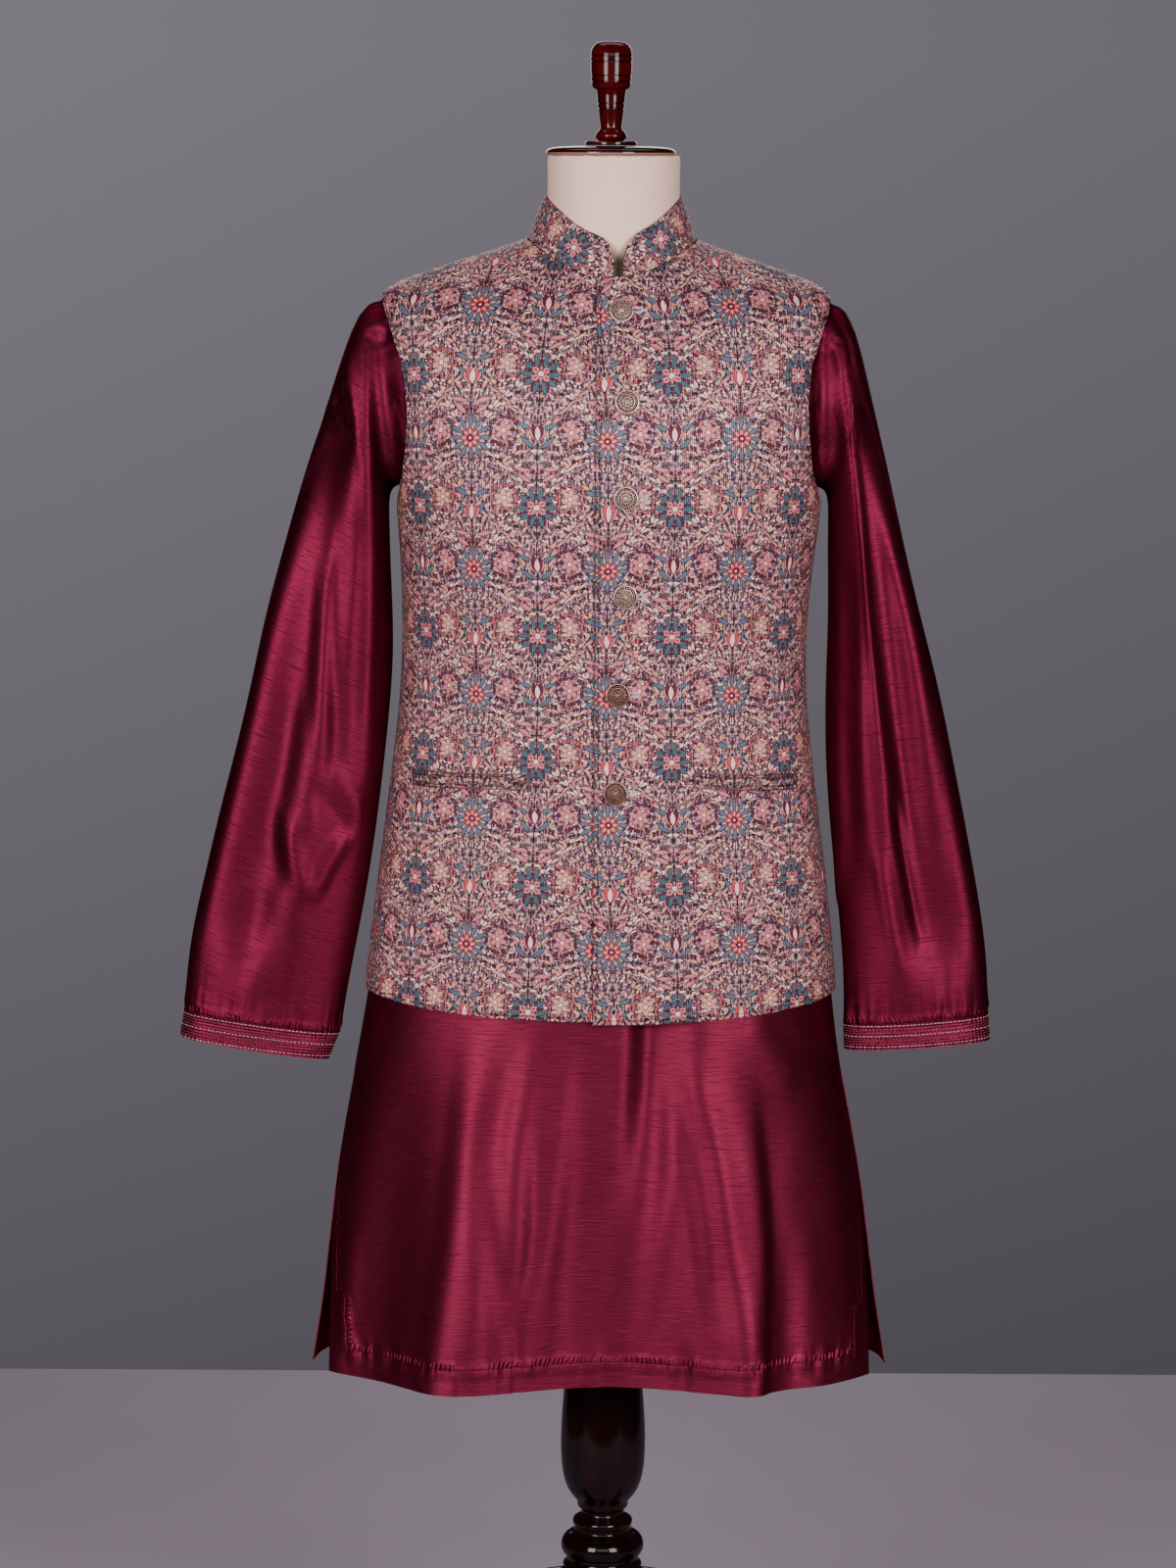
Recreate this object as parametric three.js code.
// A waistcoat set on a dress form: a band-collar waistcoat over a long-sleeved kurta, on a
// limbless linen form with a wooden neck cap, a turned column and three curved legs.
//
// Millimetres. +Z is up, -Y is the front and +X is the wearer's left.
// Angles go round the body from the front centre (0) to the wearer's left side (90) and the
// back centre (180). A level names a line round the body by its height at the side seam.

import * as THREE from "three";

// ---------------------------------------------------------------- driving sizes

const SEAM_GAP = 0.3;
const WALL = { kurta: 1, cuff: 1.6, waistcoat: 1.8, collar: 1.8, welt: 1.4 };
// How far the outer face of each garment stands off the body.
const EASE = { kurta: 3.2, waistcoat: 7.8 };

// The body that the garments hang on. Below the hips it is the air that the skirt falls round.
// level: height at the side; shift: middle line, towards the wearer's left; half: half the
// width; front, back: depths; power: 2 is an ellipse and more is squarer; dip, rise: how far
// the line falls at the front centre and climbs at the back; inset: the form under the cloth.
const BODY = [
  { level: 405, shift: -4, half: 259, front: 108, back: 116, power: 2.5, dip: 0, rise: 0, inset: 0 },
  { level: 440, shift: -4, half: 252, front: 109, back: 116, power: 2.45, dip: 0, rise: 0, inset: 0 },
  { level: 510, shift: -5, half: 243, front: 110, back: 116, power: 2.4, dip: 0, rise: 0, inset: 0 },
  { level: 585, shift: -6, half: 234, front: 112, back: 117, power: 2.4, dip: 0, rise: 0, inset: 20 },
  { level: 650, shift: -7, half: 222, front: 113, back: 117, power: 2.35, dip: 0, rise: 0, inset: 20 },
  { level: 690, shift: -7, half: 214, front: 114, back: 117, power: 2.35, dip: 0, rise: 0, inset: 24 },
  { level: 760, shift: -5, half: 204, front: 115, back: 117, power: 2.35, dip: 0, rise: 0, inset: 18 },
  { level: 800, shift: -4, half: 200, front: 114, back: 116, power: 2.35, dip: 0, rise: 0, inset: 15 },
  { level: 880, shift: -4, half: 190, front: 112, back: 112, power: 2.35, dip: 0, rise: 0, inset: 10 },
  { level: 975, shift: -4, half: 178, front: 110, back: 100, power: 2.3, dip: 0, rise: 0, inset: 9 },
  { level: 1050, shift: -4, half: 171, front: 110, back: 93, power: 2.3, dip: 0, rise: 0, inset: 10 },
  { level: 1116, shift: -2, half: 173, front: 113, back: 98, power: 2.35, dip: 0, rise: 0, inset: 6 },
  { level: 1180, shift: 0, half: 180, front: 117, back: 106, power: 2.4, dip: 0, rise: 0, inset: 3 },
  { level: 1240, shift: -1, half: 184, front: 117, back: 111, power: 2.4, dip: 2, rise: 1, inset: 1.5 },
  { level: 1300, shift: -2, half: 187, front: 110, back: 112, power: 2.35, dip: 10, rise: 4, inset: 1.5 },
  { level: 1345, shift: -3, half: 191, front: 99, back: 107, power: 2.25, dip: 22, rise: 4, inset: 1.5 },
  { level: 1364, shift: -3, half: 195, front: 93, back: 102, power: 2.2, dip: 26, rise: 5, inset: 1.5 },
  { level: 1375, shift: -3, half: 192, front: 89, back: 97, power: 2.15, dip: 28, rise: 8, inset: 2 },
  { level: 1397, shift: -1, half: 131, front: 82, back: 82, power: 2.05, dip: 29, rise: 13, inset: 2 },
  { level: 1419, shift: 1.5, half: 69.5, front: 74, back: 62, power: 2, dip: 29, rise: 16, inset: 1.5 },
  { level: 1438, shift: 2.5, half: 59.5, front: 64, back: 55, power: 2, dip: 22, rise: 13, inset: 0 },
  { level: 1465, shift: 2.7, half: 58.2, front: 59, back: 53, power: 2, dip: 10, rise: 6, inset: 0 },
  { level: 1497, shift: 2.7, half: 59, front: 57, back: 54, power: 2, dip: 0, rise: 0, inset: 0 },
];

const FORM = { bottom: 692, top: 1497, columns: 28 };

// Each armhole is a loop between two levels that swings off the side seam by an angle.
const KURTA_ARMHOLE = { base: 1204, tip: 1379, frontSwing: 30, backSwing: 28 };
const COAT_ARMHOLE = { base: 1191, tip: 1376.5, frontSwing: 27, backSwing: 25 };

const KURTA = {
  frontHem: 413,
  backHem: 408,
  neck: 1410,
  slitTop: 700,
  slitOpening: 24,
};

// Folds of the skirt. top, hem: place across the body at the waistcoat's hem and at the
// skirt's; spread: half the fold's width; height: how far it stands out at the hem; start: where
// it begins; sharp: its far side falls this many times faster.
const FRONT_FOLDS = [
  { top: -88, hem: -136, spread: 46, height: 40, start: 770, sharp: 1 },
  { top: -46, hem: -72, spread: 18, height: 9, start: 760, sharp: 1 },
  { top: -14, hem: -28, spread: 14, height: 5, start: 740, sharp: 1 },
  { top: 24, hem: 12, spread: 30, height: -16, start: 770, sharp: 1 },
  { top: 60, hem: 78, spread: 20, height: 6, start: 760, sharp: 1 },
  { top: 92, hem: 136, spread: 44, height: 34, start: 770, sharp: 2.4 },
  { top: 160, hem: 190, spread: 30, height: 16, start: 700, sharp: 1 },
];
const BACK_FOLDS = [
  { top: -120, hem: -168, spread: 36, height: 24, start: 770, sharp: 1 },
  { top: -52, hem: -70, spread: 30, height: 30, start: 770, sharp: 1.6 },
  { top: -6, hem: -10, spread: 24, height: -14, start: 770, sharp: 1 },
  { top: 44, hem: 58, spread: 30, height: 26, start: 770, sharp: 1 },
  { top: 118, hem: 150, spread: 38, height: 30, start: 770, sharp: 1.8 },
];
const FOLD_REFERENCE = { top: 745, hem: 413 };

// Rings down each sleeve: the inner and outer edge as seen from the front, measured outwards
// from the body's middle, half the depth from front to back, how far the ring sits forward, and
// its crown, which is over 1 where the outer edge is narrow and under 1 where it is full.
const RIGHT_SLEEVE = [
  { innerX: 190, innerZ: 1204, outerX: 208, outerZ: 1369, depth: 50, forward: 0, crown: 1.45 },
  { innerX: 194, innerZ: 1198, outerX: 222, outerZ: 1359, depth: 52, forward: 0, crown: 1.3 },
  { innerX: 195, innerZ: 1186, outerX: 236, outerZ: 1325, depth: 53, forward: 1, crown: 1.1 },
  { innerX: 194, innerZ: 1167, outerX: 252, outerZ: 1276, depth: 53, forward: 2, crown: 0.95 },
  { innerX: 193, innerZ: 1141, outerX: 271, outerZ: 1221, depth: 52, forward: 3, crown: 0.82 },
  { innerX: 191, innerZ: 1106, outerX: 289, outerZ: 1157, depth: 50, forward: 5, crown: 0.72 },
  { innerX: 189, innerZ: 1060, outerX: 307, outerZ: 1092, depth: 47, forward: 7, crown: 0.64 },
  { innerX: 192, innerZ: 1010, outerX: 318, outerZ: 1039, depth: 43, forward: 10, crown: 0.6 },
  { innerX: 198, innerZ: 950, outerX: 331, outerZ: 980, depth: 40, forward: 13, crown: 0.6 },
  { innerX: 206, innerZ: 884, outerX: 348, outerZ: 914, depth: 36, forward: 15, crown: 0.6 },
  { innerX: 216, innerZ: 824, outerX: 362, outerZ: 853, depth: 32, forward: 16, crown: 0.6 },
  { innerX: 227, innerZ: 770, outerX: 375, outerZ: 796, depth: 28, forward: 17, crown: 0.62 },
  { innerX: 237, innerZ: 717, outerX: 379, outerZ: 738, depth: 25, forward: 18, crown: 0.66 },
];
const LEFT_SLEEVE = [
  { innerX: 190, innerZ: 1204, outerX: 203, outerZ: 1368, depth: 50, forward: 0, crown: 1.45 },
  { innerX: 194, innerZ: 1198, outerX: 214, outerZ: 1354, depth: 53, forward: 0, crown: 1.3 },
  { innerX: 195, innerZ: 1187, outerX: 222, outerZ: 1326, depth: 55, forward: 1, crown: 1.1 },
  { innerX: 195, innerZ: 1168, outerX: 234, outerZ: 1274, depth: 57, forward: 2, crown: 0.95 },
  { innerX: 195, innerZ: 1142, outerX: 250, outerZ: 1211, depth: 58, forward: 3, crown: 0.82 },
  { innerX: 196, innerZ: 1106, outerX: 264, outerZ: 1151, depth: 57, forward: 5, crown: 0.72 },
  { innerX: 195, innerZ: 1060, outerX: 281, outerZ: 1085, depth: 54, forward: 7, crown: 0.64 },
  { innerX: 193, innerZ: 1010, outerX: 296, outerZ: 1029, depth: 50, forward: 10, crown: 0.6 },
  { innerX: 194, innerZ: 950, outerX: 309, outerZ: 967, depth: 45, forward: 13, crown: 0.6 },
  { innerX: 200, innerZ: 884, outerX: 323, outerZ: 898, depth: 40, forward: 15, crown: 0.6 },
  { innerX: 207, innerZ: 824, outerX: 335, outerZ: 837, depth: 36, forward: 17, crown: 0.6 },
  { innerX: 212, innerZ: 770, outerX: 343, outerZ: 782, depth: 32, forward: 18, crown: 0.62 },
  { innerX: 212, innerZ: 728, outerX: 344, outerZ: 739, depth: 29, forward: 18, crown: 0.66 },
];
// The bottom ring of each cuff.
const CUFF_RINGS = {
  right: { innerX: 247, innerZ: 692, outerX: 383, outerZ: 713, depth: 23, forward: 18, crown: 0.7 },
  left: { innerX: 213, innerZ: 704, outerX: 346, outerZ: 714, depth: 27, forward: 18, crown: 0.7 },
};

// Long folds down a sleeve. around: degrees from the outer edge, by way of the front; spread:
// half the width in degrees; height: how far it stands out; from, to: the rings it joins.
const RIGHT_SLEEVE_FOLDS = [
  { around: 142, spread: 13, height: 5, from: 1, to: 9 },
  { around: 118, spread: 12, height: -6, from: 3, to: 11 },
  { around: 88, spread: 16, height: 5, from: 5, to: 13 },
  { around: 235, spread: 18, height: 5, from: 2, to: 12 },
  { around: 290, spread: 20, height: -5, from: 3, to: 13 },
];
const LEFT_SLEEVE_FOLDS = [
  { around: 136, spread: 14, height: -5, from: 2, to: 9 },
  { around: 104, spread: 14, height: 6, from: 1, to: 12 },
  { around: 72, spread: 13, height: -5, from: 3, to: 12 },
  { around: 238, spread: 20, height: -5, from: 2, to: 11 },
  { around: 285, spread: 18, height: 5, from: 3, to: 13 },
];
const SLEEVE_COLUMNS = 20;
const ARMHOLE_ROWS = 8;
// Rows that both garments share, between the waistcoat's hem and its armholes.
const WAIST_LEVELS = [820, 890, 960, 1030, 1095, 1150];
const SKIRT_ROWS = 6;
// A sleeve follows the body from its seam to a second loop, further into the armhole.
const SLEEVE_RUN_OFF = { base: 1, tip: -11, swing: -6 };

// The waistcoat closes on a line to the wearer's left of the middle, left front over right.
const CLOSURE = {
  line: 10,
  overEdge: -11.7,
  underEdge: 30,
  lift: 3,
  liftFade: 44,
};
const COAT_HEM = { centre: 744, side: 757, underRise: 2 };
const COAT_NECK = 1419;

// Top edge of the band collar, in the columns of the body table.
const COLLAR_TOP = { shift: 2.7, half: 61.4, front: 66, back: 59, level: 1463, dip: 36, rise: 7 };
const COLLAR = { leftEnd: 10.5, rightEnd: 2.3, cornerRadius: 17, cornerHeight: 0.42, bow: 1.5 };

// Welts on the fronts: the ends across the body, the height of each end and of the strip.
const WELTS = {
  waistcoat_welt_right: { near: -66, nearZ: 957, far: -164, farZ: 953, height: 14 },
  waistcoat_welt_left: { near: 73, nearZ: 958, far: 159, farZ: 951, height: 14 },
};
const WELT_LIFT = 1;

const BUTTON_HEIGHTS = [1364, 1287, 1205, 1120, 1034, 948];
// How far each button was sewn from the line, to the wearer's left.
const BUTTON_SHIFTS = [-0.5, 4.5, 4, 4, -2, -3.5];
// The buttons below these have worn to copper.
const SILVER_BUTTONS = 4;
const BUTTON = { radius: 10.5, shankRadius: 3, shank: 1.6, thickness: 3, segments: 16 };

// Turned wood: radius and height down each profile.
const CAP = [
  { radius: 0, height: 1505.4 },
  { radius: 30, height: 1505 },
  { radius: 50, height: 1503.4 },
  { radius: 55.5, height: 1501.6 },
  { radius: 57, height: 1499.4 },
  { radius: 56.6, height: 1497.6 },
  { radius: 0, height: 1497.6 },
];
const FINIAL = [
  { radius: 0, height: 1596 },
  { radius: 8, height: 1595 },
  { radius: 14, height: 1591.5 },
  { radius: 17.4, height: 1586.6 },
  { radius: 18.2, height: 1582 },
  { radius: 18, height: 1572 },
  { radius: 17.4, height: 1562 },
  { radius: 15.8, height: 1556 },
  { radius: 13, height: 1554.6 },
  { radius: 12.2, height: 1545 },
  { radius: 11.6, height: 1536 },
  { radius: 10.2, height: 1528 },
  { radius: 9.4, height: 1522 },
  { radius: 10.4, height: 1518 },
  { radius: 13.4, height: 1514.6 },
  { radius: 13.4, height: 1512 },
  { radius: 11, height: 1509.8 },
  { radius: 22.6, height: 1509.2 },
  { radius: 22.6, height: 1505.8 },
  { radius: 0, height: 1505.8 },
];
const COLUMN = [
  { radius: 0, height: 691.4 },
  { radius: 46, height: 691.4 },
  { radius: 46, height: 680 },
  { radius: 25, height: 672 },
  { radius: 25, height: 560 },
  { radius: 30, height: 450 },
  { radius: 34.9, height: 387 },
  { radius: 38.2, height: 350 },
  { radius: 38.4, height: 328 },
  { radius: 35.6, height: 301 },
  { radius: 30.4, height: 288 },
  { radius: 23.2, height: 279 },
  { radius: 22.6, height: 274 },
  { radius: 19.2, height: 268.6 },
  { radius: 25.6, height: 263.4 },
  { radius: 27.2, height: 259.4 },
  { radius: 25, height: 253.4 },
  { radius: 31.4, height: 248 },
  { radius: 36.8, height: 243 },
  { radius: 37.7, height: 237 },
  { radius: 36, height: 231 },
  { radius: 32.6, height: 228 },
  { radius: 33.4, height: 222.5 },
  { radius: 36, height: 219.5 },
  { radius: 34, height: 216 },
  { radius: 34, height: 176 },
  { radius: 22, height: 166 },
  { radius: 9, height: 156 },
  { radius: 0, height: 153 },
];
const LATHE_SEGMENTS = 24;

// Rings along a leg: distance from the axis, height, half width, half thickness, and the
// slope of the leg there in degrees, where 90 is straight down.
const LEG = [
  { reach: 36.6, height: 202, wide: 15, thick: 20, slope: 0 },
  { reach: 68, height: 203, wide: 15, thick: 21, slope: 8 },
  { reach: 108, height: 192, wide: 14.5, thick: 20, slope: 24 },
  { reach: 150, height: 164, wide: 13.5, thick: 17.5, slope: 40 },
  { reach: 188, height: 124, wide: 12.5, thick: 15, slope: 50 },
  { reach: 218, height: 82, wide: 11.5, thick: 13, slope: 54 },
  { reach: 242, height: 46, wide: 11, thick: 12, slope: 52 },
  { reach: 262, height: 20, wide: 13, thick: 13, slope: 60 },
  { reach: 272, height: 0, wide: 17, thick: 20, slope: 90 },
];
const LEG_DIRECTIONS = [210, 330, 90];
const LEG_COLUMNS = 14;

// ---------------------------------------------------------------- materials

const finish = (color, roughness, metalness) => ({ color, roughness, metalness });
const FINISHES = {
  linen: finish(0xd9cdbc, 0.9, 0),
  wood: finish(0x2a0d0a, 0.18, 0),
  silk: finish(0x7a1232, 0.42, 0),
  print: finish(0xb98f97, 0.85, 0),
  silver: finish(0x9a938a, 0.4, 0.9),
  copper: finish(0x7a5446, 0.42, 0.9),
};

// ---------------------------------------------------------------- helpers

const radians = THREE.MathUtils.degToRad;
const vector = (x, y, z) => new THREE.Vector3(x, y, z);
const signedPower = (value, power) => Math.sign(value) * Math.abs(value) ** power;

// A smooth curve through rising positions that never overshoots the values on either side.
function gentleCurve(positions, values) {
  const last = positions.length - 1;
  const slopes = positions.slice(1).map((p, i) => (values[i + 1] - values[i]) / (p - positions[i]));
  const tangents = positions.map((_, i) => {
    if (i === 0) return slopes[0];
    if (i === last) return slopes[last - 1];
    const [before, after] = [slopes[i - 1], slopes[i]];
    return before * after <= 0 ? 0 : (2 * before * after) / (before + after);
  });
  return (at) => {
    let i = 0;
    while (i < last - 1 && at > positions[i + 1]) i += 1;
    const step = positions[i + 1] - positions[i];
    const t = (at - positions[i]) / step;
    if (t < 0) return values[0];
    if (t > 1) return values[last];
    const [t2, t3] = [t * t, t * t * t];
    return (
      (2 * t3 - 3 * t2 + 1) * values[i] +
      (t3 - 2 * t2 + t) * step * tangents[i] +
      (3 * t2 - 2 * t3) * values[i + 1] +
      (t3 - t2) * step * tangents[i + 1]
    );
  };
}

// Each column of a table as a curve over its first column.
function tableCurves(rows, key) {
  const positions = rows.map((row) => row[key]);
  const names = Object.keys(rows[0]).filter((name) => name !== key);
  const curve = (name) => gentleCurve(positions, rows.map((row) => row[name]));
  return Object.fromEntries(names.map((name) => [name, curve(name)]));
}

function meshOf(name, positions, indices, material) {
  const geometry = new THREE.BufferGeometry();
  const numbers = positions.flatMap((point) => point.toArray());
  geometry.setAttribute("position", new THREE.Float32BufferAttribute(numbers, 3));
  geometry.setIndex(indices);
  geometry.computeVertexNormals();
  return named(name, geometry, material);
}

function named(name, geometry, material) {
  const mesh = new THREE.Mesh(geometry, new THREE.MeshStandardMaterial(FINISHES[material]));
  mesh.name = name;
  return mesh;
}

// The outward normal of a face: across runs to its right, seen from outside, and along upwards.
function normalOf(face, across, along) {
  const step = 1e-3;
  const right = face(across + step, along).sub(face(across - step, along));
  const up = face(across, along + step).sub(face(across, along - step));
  return right.cross(up).normalize();
}

// A closed wall of cloth inside a face. The grid holds rows of [across, along] pairs, keep
// moves a point back to its own side of a seam, and a wrapped wall joins its two ends.
function clothWall({ name, material, face, grid, wall, wraps = false, keep = (point) => point }) {
  const rows = grid.length;
  const columns = grid[0].length;
  const positions = [];
  for (const depth of [0, wall]) {
    for (const row of grid) {
      for (const [across, along] of row) {
        const inward = normalOf(face, across, along).multiplyScalar(-depth);
        positions.push(keep(face(across, along).add(inward)));
      }
    }
  }
  const outer = (i, j) => j * columns + (i % columns);
  const inner = (i, j) => rows * columns + outer(i, j);
  const indices = [];
  const quad = (a, b, c, d) => indices.push(a, b, c, a, c, d);
  const spans = wraps ? columns : columns - 1;
  for (let j = 0; j < rows - 1; j += 1) {
    for (let i = 0; i < spans; i += 1) {
      quad(outer(i, j), outer(i + 1, j), outer(i + 1, j + 1), outer(i, j + 1));
      quad(inner(i, j), inner(i, j + 1), inner(i + 1, j + 1), inner(i + 1, j));
    }
    if (!wraps) {
      quad(inner(0, j), outer(0, j), outer(0, j + 1), inner(0, j + 1));
      quad(outer(spans, j), inner(spans, j), inner(spans, j + 1), outer(spans, j + 1));
    }
  }
  for (let i = 0; i < spans; i += 1) {
    quad(inner(i, 0), inner(i + 1, 0), outer(i + 1, 0), outer(i, 0));
    quad(outer(i, rows - 1), outer(i + 1, rows - 1), inner(i + 1, rows - 1), inner(i, rows - 1));
  }
  return meshOf(name, positions, indices, material);
}

// A solid through rings of points, closed by a fan at each end. Seen from the last ring, the
// points of each ring run anticlockwise.
function loftSolid(name, rings, material) {
  const count = rings[0].length;
  const positions = rings.flat();
  const indices = [];
  for (let j = 0; j < rings.length - 1; j += 1) {
    for (let i = 0; i < count; i += 1) {
      const [a, b] = [j * count + i, j * count + ((i + 1) % count)];
      indices.push(a, b, b + count, a, b + count, a + count);
    }
  }
  const middle = (ring) => ring.reduce((sum, p) => sum.add(p), vector(0, 0, 0)).divideScalar(count);
  const start = positions.push(middle(rings[0])) - 1;
  const end = positions.push(middle(rings.at(-1))) - 1;
  const lastRing = (rings.length - 1) * count;
  for (let i = 0; i < count; i += 1) {
    const next = (i + 1) % count;
    indices.push(start, next, i);
    indices.push(end, lastRing + i, lastRing + next);
  }
  return meshOf(name, positions, indices, material);
}

function turned(name, profile, material) {
  const outline = profile.map(({ radius, height }) => new THREE.Vector2(radius, height));
  const mesh = named(name, new THREE.LatheGeometry(outline.reverse(), LATHE_SEGMENTS), material);
  mesh.rotation.x = Math.PI / 2;
  return mesh;
}

function evenly(from, to, count) {
  return Array.from({ length: count + 1 }, (_, i) => from + ((to - from) * i) / count);
}

// ---------------------------------------------------------------- the body

const body = tableCurves(BODY, "level");

function bodyPoint(level, angle) {
  const turn = radians(angle);
  const [sine, cosine] = [Math.sin(turn), Math.cos(turn)];
  const power = 2 / body.power(level);
  const depth = cosine > 0 ? body.front(level) : body.back(level);
  const tilt = cosine > 0 ? -body.dip(level) : body.rise(level);
  return vector(
    body.shift(level) + body.half(level) * signedPower(sine, power),
    -depth * signedPower(cosine, power),
    level + tilt * cosine * cosine,
  );
}

// A point at a distance off the body.
function offBody(level, angle, distance) {
  const face = (across, along) => bodyPoint(along, across);
  return bodyPoint(level, angle).add(normalOf(face, angle, level).multiplyScalar(distance));
}

// The angle at which a level crosses a place across the body, at the front.
function angleAt(level, x) {
  const share = (x - body.shift(level)) / body.half(level);
  return THREE.MathUtils.radToDeg(Math.asin(signedPower(share, body.power(level) / 2)));
}

// How far an armhole's edge has swung off the side seam at a level.
function armholeSwing({ base, tip }, swing, level) {
  const share = THREE.MathUtils.clamp((level - base) / (tip - base), 0, 1);
  return swing * 2 * Math.sqrt(share * (1 - share));
}

// Rows of a bodice: up the waist, bunched at the ends of the armhole, then to the neck.
function bodiceLevels({ base, tip }, neck, upperRows) {
  const turns = evenly(0, Math.PI, ARMHOLE_ROWS);
  const round = turns.map((turn) => base + ((tip - base) * (1 - Math.cos(turn))) / 2);
  return [...WAIST_LEVELS, ...round, ...evenly(tip, neck, upperRows).slice(1)];
}

function kurtaLevels(hem) {
  const skirt = evenly(hem, COAT_HEM.side, SKIRT_ROWS);
  return [...skirt, ...bodiceLevels(KURTA_ARMHOLE, KURTA.neck, 2)];
}

const inFront = (point) => point.setY(Math.min(point.y, -SEAM_GAP / 2));
const behind = (point) => point.setY(Math.max(point.y, SEAM_GAP / 2));

function makeForm() {
  const levels = [...evenly(FORM.bottom, 1150, 7), 1200, 1250, 1300, 1340, 1360, 1370, 1376, 1386, 1397];
  levels.push(1408, 1419, 1428, 1438, 1465, FORM.top);
  const angles = evenly(0, 360, FORM.columns).slice(0, -1);
  const ring = (level) =>
    angles.map((angle) => {
      const point = offBody(level, angle, -body.inset(level));
      return point.setZ(bodyPoint(level, angle).z);
    });
  return loftSolid("form_torso", levels.map(ring), "linen");
}

// ---------------------------------------------------------------- the kurta

// How far the skirt stands out at a place across the body and a height.
function foldAt(folds, x, z) {
  const down = (FOLD_REFERENCE.top - z) / (FOLD_REFERENCE.top - FOLD_REFERENCE.hem);
  let total = 0;
  for (const { top, hem, spread, height, start, sharp } of folds) {
    const grown = THREE.MathUtils.smoothstep(start - z, 0, start - FOLD_REFERENCE.hem);
    const away = (x - top - (hem - top) * down) / spread;
    const steep = away > 0 ? sharp : 1;
    total += height * grown * Math.exp(-((away * steep) ** 2));
  }
  return total;
}

function kurtaFace(folds, forward) {
  return (angle, level) => {
    const point = offBody(level, angle, EASE.kurta);
    point.y += forward * foldAt(folds, point.x, point.z);
    return point;
  };
}

// Where the edge of a skirt panel has opened from the side seam, below the top of the slit.
function slitSwing(level) {
  const share = Math.max(0, (KURTA.slitTop - level) / (KURTA.slitTop - KURTA.frontHem));
  return KURTA.slitOpening * share ** 1.5;
}

function makeKurtaFront() {
  const grid = kurtaLevels(KURTA.frontHem).map((level) => {
    const swing = armholeSwing(KURTA_ARMHOLE, KURTA_ARMHOLE.frontSwing, level);
    const side = 90 - swing - slitSwing(level);
    return evenly(-side, side, 20).map((angle) => [angle, level]);
  });
  const face = kurtaFace(FRONT_FOLDS, -1);
  return clothWall({ name: "kurta_front", material: "silk", face, grid, wall: WALL.kurta, keep: inFront });
}

function makeKurtaBack() {
  const grid = kurtaLevels(KURTA.backHem).map((level) => {
    const side = 90 + armholeSwing(KURTA_ARMHOLE, KURTA_ARMHOLE.backSwing, level);
    return evenly(side, 360 - side, 17).map((angle) => [angle, level]);
  });
  const face = kurtaFace(BACK_FOLDS, 1);
  return clothWall({ name: "kurta_back", material: "silk", face, grid, wall: WALL.kurta, keep: behind });
}

// A point of the loop where a sleeve starts, shrunk by the seam's gap. Turn 0 is at the
// shoulder's tip and 90 at the front.
function armholeLoop(side, turn, runOff) {
  const base = KURTA_ARMHOLE.base + runOff.base;
  const tip = KURTA_ARMHOLE.tip + runOff.tip;
  const middle = (base + tip) / 2;
  const reach = (tip - base) / 2 - 2 * SEAM_GAP;
  const corner = (at) => {
    const sine = Math.sin(radians(at));
    const full = sine > 0 ? KURTA_ARMHOLE.frontSwing : KURTA_ARMHOLE.backSwing;
    const swing = full + runOff.swing - SEAM_GAP;
    const level = middle + reach * Math.cos(radians(at));
    return offBody(level, side * (90 - swing * sine), EASE.kurta);
  };
  // The bodice's edge is straight between its rows, and the seam follows it.
  const row = 180 / ARMHOLE_ROWS;
  const start = Math.floor(turn / row) * row;
  return corner(start).lerp(corner(start + row), (turn - start) / row);
}

// A point of a ring through a sleeve, from its row in the table.
function ringPoint(side, row, turn, standOut) {
  const inner = vector(side * row.innerX, -row.forward, row.innerZ);
  const outer = vector(side * row.outerX, -row.forward, row.outerZ);
  const half = outer.clone().sub(inner).divideScalar(2);
  const [sine, cosine] = [Math.sin(radians(turn)), Math.cos(radians(turn))];
  const roundness = cosine > 0 ? row.crown : 1;
  return inner
    .add(half)
    .addScaledVector(half, cosine)
    .add(vector(0, -(row.depth + standOut) * signedPower(sine, roundness), 0));
}

function sleeveFold(folds, ring, turn) {
  const wrapped = THREE.MathUtils.euclideanModulo(turn, 360);
  let total = 0;
  for (const { around, spread, height, from, to } of folds) {
    const along = THREE.MathUtils.clamp((ring - from) / (to - from), 0, 1);
    const away = (wrapped - around) / spread;
    total += height * Math.sin(Math.PI * along) * Math.exp(-away * away);
  }
  return total;
}

// The face of a sleeve over its rings. The first two lie on the body, round the armhole.
function sleeveFace(side, rows, folds) {
  const at = (ring, turn) => {
    if (ring === 0) return armholeLoop(side, turn, { base: 0, tip: 0, swing: 0 });
    if (ring === 1) return armholeLoop(side, turn, SLEEVE_RUN_OFF);
    return ringPoint(side, rows[ring - 2], turn, sleeveFold(folds, ring - 2, turn));
  };
  return (across, along) => {
    const turn = side * across;
    const lower = THREE.MathUtils.clamp(Math.floor(along), 0, rows.length);
    return at(lower, turn).lerp(at(lower + 1, turn), along - lower);
  };
}

function makeSleeve(name, side, rows, folds) {
  const turns = evenly(0, 360, SLEEVE_COLUMNS).slice(0, -1);
  const grid = evenly(0, rows.length + 1, rows.length + 1).map((ring) => turns.map((turn) => [turn, ring]));
  const face = sleeveFace(side, rows, folds);
  return clothWall({ name, material: "silk", face, grid, wall: WALL.kurta, wraps: true });
}

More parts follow.
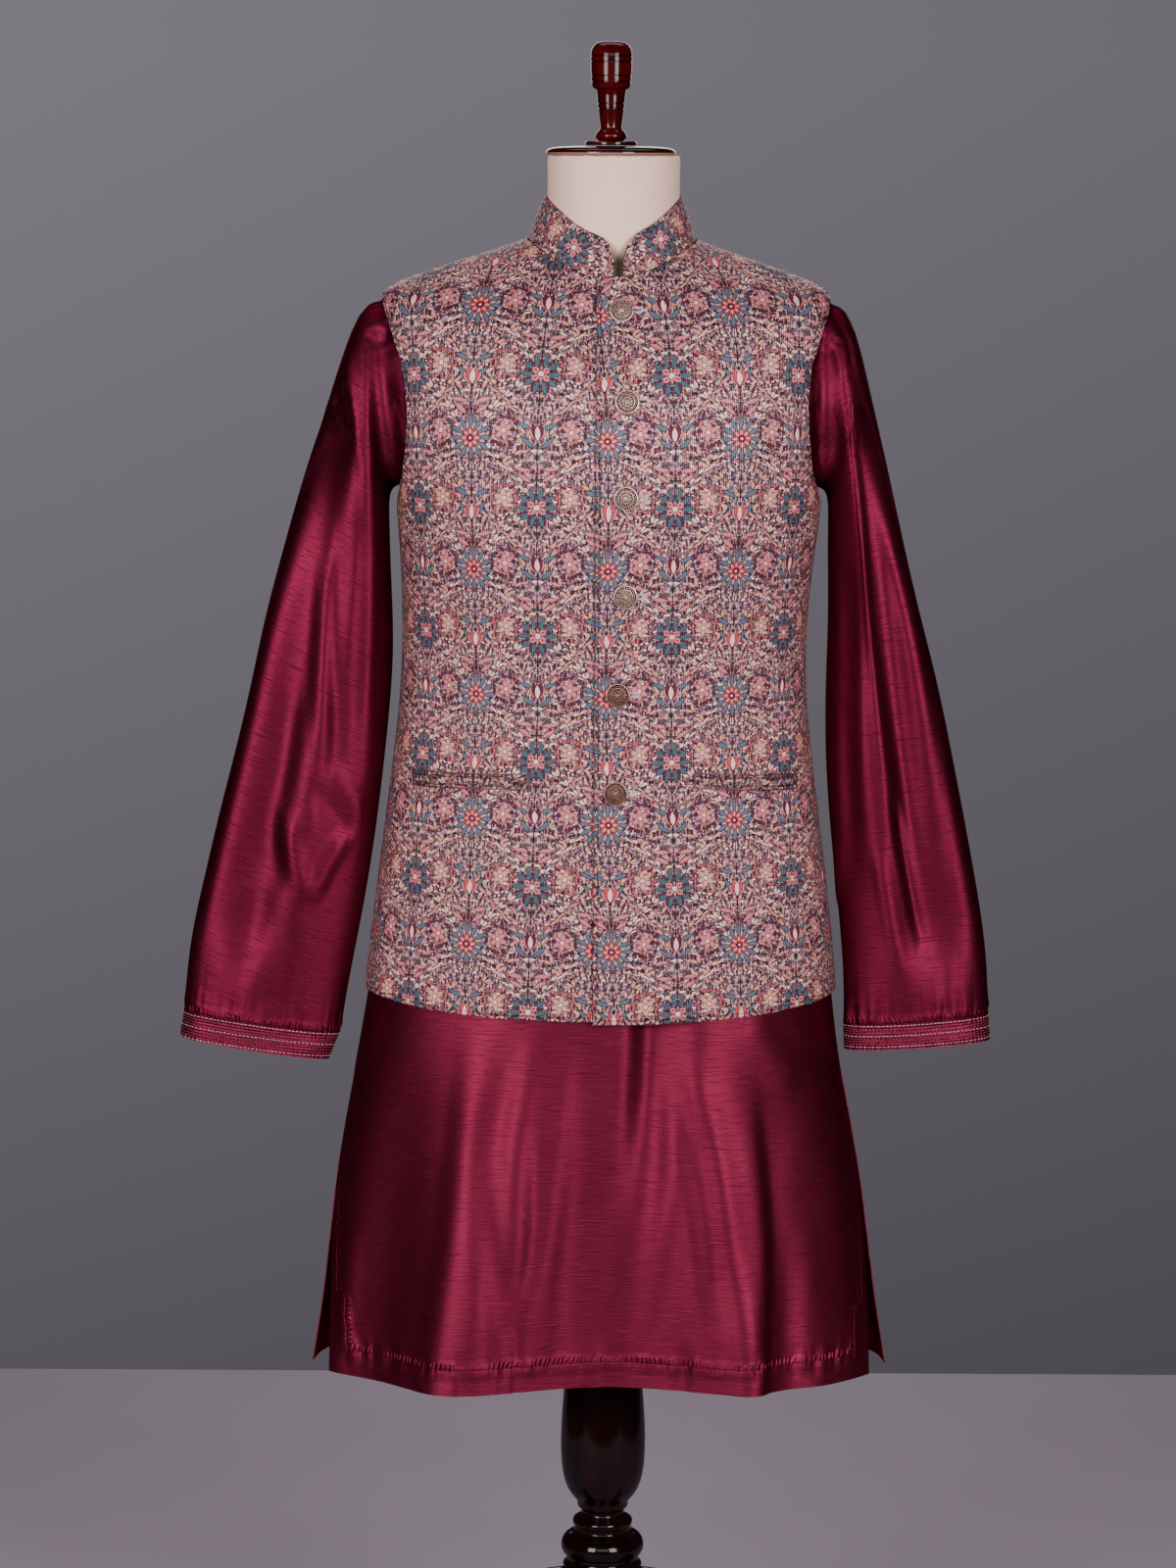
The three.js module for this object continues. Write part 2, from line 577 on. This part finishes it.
// A cuff continues its sleeve from the last ring, a seam's gap below it.
function makeCuff(name, side, rows, cuff) {
  const top = rows.at(-1);
  const drop = SEAM_GAP / Math.hypot(top.innerZ - cuff.innerZ, top.innerX - cuff.innerX);
  const keys = Object.keys(top);
  const between = (key, share) => top[key] + (cuff[key] - top[key]) * share;
  const at = (share) => Object.fromEntries(keys.map((key) => [key, between(key, share)]));
  const face = (across, along) => ringPoint(side, at(along), side * across, 0.4);
  const turns = evenly(0, 360, SLEEVE_COLUMNS).slice(0, -1);
  const grid = [2 * drop, 0.5, 1].map((share) => turns.map((turn) => [turn, share]));
  return clothWall({ name, material: "silk", face, grid, wall: WALL.cuff, wraps: true });
}

// ---------------------------------------------------------------- the waistcoat

// The left front lies over the right one, so it is lifted by the closure and settles beyond it.
function coatFace(lifted) {
  return (angle, level) => {
    const point = offBody(level, angle, EASE.waistcoat);
    if (lifted) {
      const past = point.x - CLOSURE.underEdge;
      point.y -= CLOSURE.lift * (1 - THREE.MathUtils.smoothstep(past, 0, CLOSURE.liftFade));
    }
    return point;
  };
}

// The hem falls from the side seams to the front centre.
function coatHem(angle, centre) {
  const aside = Math.sin(radians(angle)) ** 2;
  return centre + (COAT_HEM.side - centre) * aside;
}

// A grid over a bodice panel whose lowest rows bend down to its hem.
function coatGrid(edges, hemCentre, columns) {
  const { base } = COAT_ARMHOLE;
  const levels = [COAT_HEM.side, ...bodiceLevels(COAT_ARMHOLE, COAT_NECK, 3)];
  return levels.map((level) => {
    const share = THREE.MathUtils.clamp((base - level) / (base - COAT_HEM.side), 0, 1);
    const [from, to] = edges(level);
    return evenly(from, to, columns).map((angle) => {
      const drop = (COAT_HEM.side - coatHem(angle, hemCentre)) * share * share;
      return [angle, level - drop];
    });
  });
}

function makeCoatFront(name, side) {
  const over = side > 0;
  const edge = over ? CLOSURE.overEdge : CLOSURE.underEdge;
  const hemCentre = COAT_HEM.centre + (over ? 0 : COAT_HEM.underRise);
  const edges = (level) => {
    const seam = side * (90 - armholeSwing(COAT_ARMHOLE, COAT_ARMHOLE.frontSwing, level));
    return over ? [angleAt(level, edge), seam] : [seam, angleAt(level, edge)];
  };
  const grid = coatGrid(edges, hemCentre, 10);
  const face = coatFace(over);
  return clothWall({ name, material: "print", face, grid, wall: WALL.waistcoat, keep: inFront });
}

function makeCoatBack() {
  const edges = (level) => {
    const side = 90 + armholeSwing(COAT_ARMHOLE, COAT_ARMHOLE.backSwing, level);
    return [side, 360 - side];
  };
  const grid = coatGrid(edges, COAT_HEM.side - 4, 16);
  const face = coatFace(false);
  const wall = WALL.waistcoat;
  return clothWall({ name: "waistcoat_back", material: "print", face, grid, wall, keep: behind });
}

// The top edge of the collar at an angle.
function collarTop(angle) {
  const [sine, cosine] = [Math.sin(radians(angle)), Math.cos(radians(angle))];
  const { shift, half, front, back, level, dip, rise } = COLLAR_TOP;
  const depth = cosine > 0 ? front : back;
  const tilt = cosine > 0 ? -dip : rise;
  return vector(shift + half * sine, -depth * cosine, level + tilt * cosine * cosine);
}

// The collar stands from the neck seam to its top edge, a little bowed. Angles run from the
// left end at the front, by way of the back, to the right end.
function collarFace(angle, height) {
  const seam = coatFace(false)(angle, COAT_NECK);
  const top = collarTop(angle);
  const lift = (2 * SEAM_GAP) / top.distanceTo(seam);
  const share = lift + (1 - lift) * height;
  const bowed = COLLAR.bow * Math.sin(Math.PI * share);
  const outward = vector(Math.sin(radians(angle)), -Math.cos(radians(angle)), 0);
  return seam.lerp(top, share).addScaledVector(outward, bowed);
}

function makeCollar() {
  const from = angleAt(COAT_NECK, COLLAR.leftEnd);
  const to = 360 + angleAt(COAT_NECK, COLLAR.rightEnd);
  // Closer columns at the front ends draw the rounded corners.
  const ends = [0, 2, 5, 9, 14, 22, 31];
  const angles = [
    ...ends.map((step) => from + step),
    ...evenly(from + 42, to - 42, 12),
    ...ends.map((step) => to - step).reverse(),
  ];
  const corner = (angle) => {
    const arc = radians(Math.min(angle - from, to - angle)) * COLLAR_TOP.front;
    const away = Math.max(0, 1 - arc / COLLAR.cornerRadius);
    return COLLAR.cornerHeight + (1 - COLLAR.cornerHeight) * Math.sqrt(1 - away * away);
  };
  const grid = evenly(0, 1, 3).map((share) => angles.map((angle) => [angle, share * corner(angle)]));
  const face = collarFace;
  return clothWall({ name: "waistcoat_collar", material: "print", face, grid, wall: WALL.collar });
}

// The front that a place across the body lies on.
const frontFace = (x) => coatFace(x > CLOSURE.overEdge);

// A welt follows its panel and stands off it by its own wall.
function makeWelt(name, { near, nearZ, far, farZ, height }) {
  const panel = frontFace(near);
  const middle = (x) => nearZ + ((farZ - nearZ) * (x - near)) / (far - near);
  const face = (x, above) => {
    const level = middle(x) + above;
    const angle = angleAt(level, x);
    const outward = normalOf(panel, angle, level);
    return panel(angle, level).addScaledVector(outward, WELT_LIFT + WALL.welt);
  };
  const places = evenly(Math.min(near, far), Math.max(near, far), 9);
  const grid = [-height / 2, 0, height / 2].map((above) => places.map((x) => [x, above]));
  return clothWall({ name, material: "print", face, grid, wall: WALL.welt });
}

// A shank button: a short stem under a disc with a raised rim and middle.
function makeButton(name, level, place) {
  const { radius, shankRadius, shank, thickness, segments } = BUTTON;
  const profile = [
    [0, 0],
    [shankRadius, 0],
    [shankRadius, shank],
    [radius - 0.6, shank],
    [radius, shank + 0.6],
    [radius, shank + thickness - 0.8],
    [radius - 0.9, shank + thickness],
    [radius - 2.4, shank + thickness - 0.5],
    [3.4, shank + thickness - 0.3],
    [0, shank + thickness],
  ].map(([x, y]) => new THREE.Vector2(x, y));
  const material = place < SILVER_BUTTONS ? "silver" : "copper";
  const mesh = named(name, new THREE.LatheGeometry(profile, segments), material);
  const panel = coatFace(true);
  const angle = angleAt(level, CLOSURE.line + BUTTON_SHIFTS[place]);
  const outward = normalOf(panel, angle, level);
  mesh.position.copy(panel(angle, level).addScaledVector(outward, SEAM_GAP));
  mesh.quaternion.setFromUnitVectors(vector(0, 1, 0), outward);
  return mesh;
}

// The level at which the front centre reaches a height.
function levelAtFront(height) {
  let level = height;
  for (let pass = 0; pass < 6; pass += 1) {
    level += height - offBody(level, 0, EASE.waistcoat).z;
  }
  return level;
}

// ---------------------------------------------------------------- the stand

function makeLeg(name, direction) {
  const turns = evenly(0, 360, LEG_COLUMNS).slice(0, -1);
  const outward = vector(Math.cos(radians(direction)), Math.sin(radians(direction)), 0);
  const sideways = vector(-outward.y, outward.x, 0);
  const rings = LEG.map(({ reach, height, wide, thick, slope }) => {
    const [sine, cosine] = [Math.sin(radians(slope)), Math.cos(radians(slope))];
    const across = outward.clone().multiplyScalar(sine).add(vector(0, 0, cosine));
    const centre = outward.clone().multiplyScalar(reach).add(vector(0, 0, height));
    return turns.map((turn) =>
      centre
        .clone()
        .addScaledVector(sideways, wide * signedPower(Math.cos(radians(turn)), 0.8))
        .addScaledVector(across, thick * signedPower(Math.sin(radians(turn)), 0.8)),
    );
  });
  return loftSolid(name, rings, "wood");
}

// ---------------------------------------------------------------- assembly

const form = new THREE.Group();
form.add(makeForm());
form.add(turned("neck_cap", CAP, "wood"));
form.add(turned("finial", FINIAL, "wood"));
form.add(turned("column", COLUMN, "wood"));
LEG_DIRECTIONS.forEach((direction, i) => form.add(makeLeg(`leg_${i + 1}`, direction)));

const kurta = new THREE.Group();
kurta.add(makeKurtaFront(), makeKurtaBack());
kurta.add(makeSleeve("kurta_sleeve_right", -1, RIGHT_SLEEVE, RIGHT_SLEEVE_FOLDS));
kurta.add(makeSleeve("kurta_sleeve_left", 1, LEFT_SLEEVE, LEFT_SLEEVE_FOLDS));
kurta.add(makeCuff("kurta_cuff_right", -1, RIGHT_SLEEVE, CUFF_RINGS.right));
kurta.add(makeCuff("kurta_cuff_left", 1, LEFT_SLEEVE, CUFF_RINGS.left));

const waistcoat = new THREE.Group();
waistcoat.add(makeCoatFront("waistcoat_front_right", -1), makeCoatFront("waistcoat_front_left", 1));
waistcoat.add(makeCoatBack(), makeCollar());
for (const [name, welt] of Object.entries(WELTS)) waistcoat.add(makeWelt(name, welt));
BUTTON_HEIGHTS.forEach((height, i) => {
  waistcoat.add(makeButton(`waistcoat_button_${i + 1}`, levelAtFront(height), i));
});

const set = new THREE.Group();
set.add(form, kurta, waistcoat);

// The origin is on the floor, under the middle of the set's bounding box.
set.updateMatrixWorld(true);
const middle = new THREE.Box3().setFromObject(set, true).getCenter(vector(0, 0, 0));
set.position.set(-middle.x, -middle.y, 0);

export default set;
